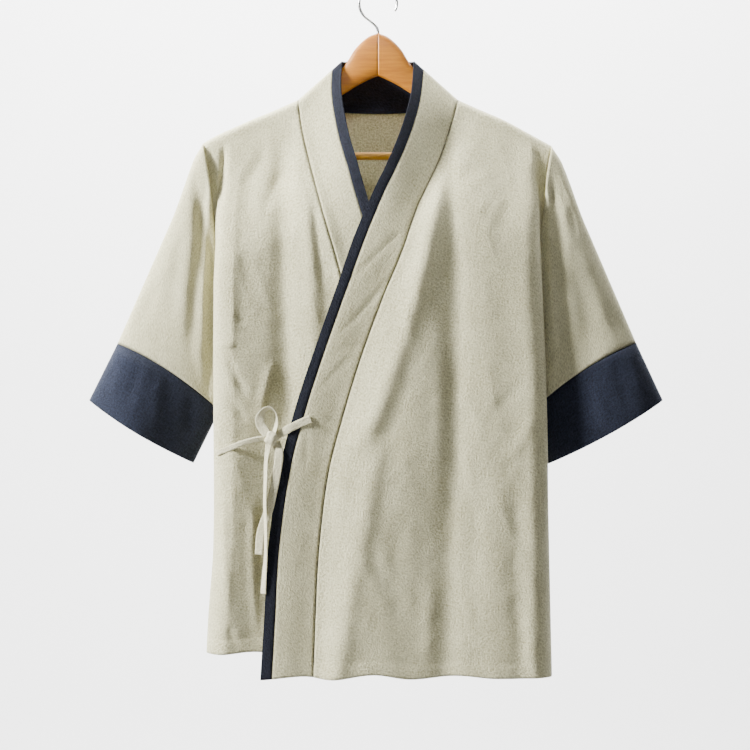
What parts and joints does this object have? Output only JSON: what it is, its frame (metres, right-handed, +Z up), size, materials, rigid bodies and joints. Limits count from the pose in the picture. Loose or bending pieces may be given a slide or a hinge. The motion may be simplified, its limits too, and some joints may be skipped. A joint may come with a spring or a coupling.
{
  "type": "crossed-collar jacket on a wooden hanger",
  "caption": "Short-sleeved jacket with a crossed collar that ties at the side, wide dark cuffs and dark collar edging, hung flat on a wooden hanger with a bar and a wire hook",
  "frame": {"origin": "the inner top of the hanger's hook, where the rod that it hangs on touches it", "axes": "+Z up, +X towards the wearer's left, -Y the front of the jacket"},
  "size_m": [0.7308, 0.1287, 0.881],
  "materials": {
    "cloth": "matt beige linen weave",
    "collar_cloth": "matt beige linen weave, two layers",
    "tie_cloth": "matt beige linen weave, folded",
    "navy": "matt dark blue linen weave",
    "wood": "satin varnished golden brown wood",
    "hook_wire": "plain steel wire"
  },
  "bodies": {
    "root": {"front_left": "cloth", "front_right": "cloth", "back": "cloth", "sleeve_left": "cloth", "sleeve_right": "cloth", "cuff_left": "navy", "cuff_right": "navy", "collar_band_left": "collar_cloth", "collar_band_right": "collar_cloth", "collar_band_neck": "collar_cloth", "collar_edge_left": "navy", "collar_edge_right": "navy", "collar_edge_neck": "navy", "neck_facing": "navy", "tie_strap_left": "tie_cloth", "tie_strap_right": "tie_cloth", "tie_loop": "tie_cloth", "tie_knot": "tie_cloth", "tie_tail_long": "tie_cloth", "tie_tail_short": "tie_cloth", "hanger_arm_left": "wood", "hanger_arm_right": "wood", "hanger_bar": "wood", "hanger_hook": "hook_wire"}
  },
  "joints": []
}
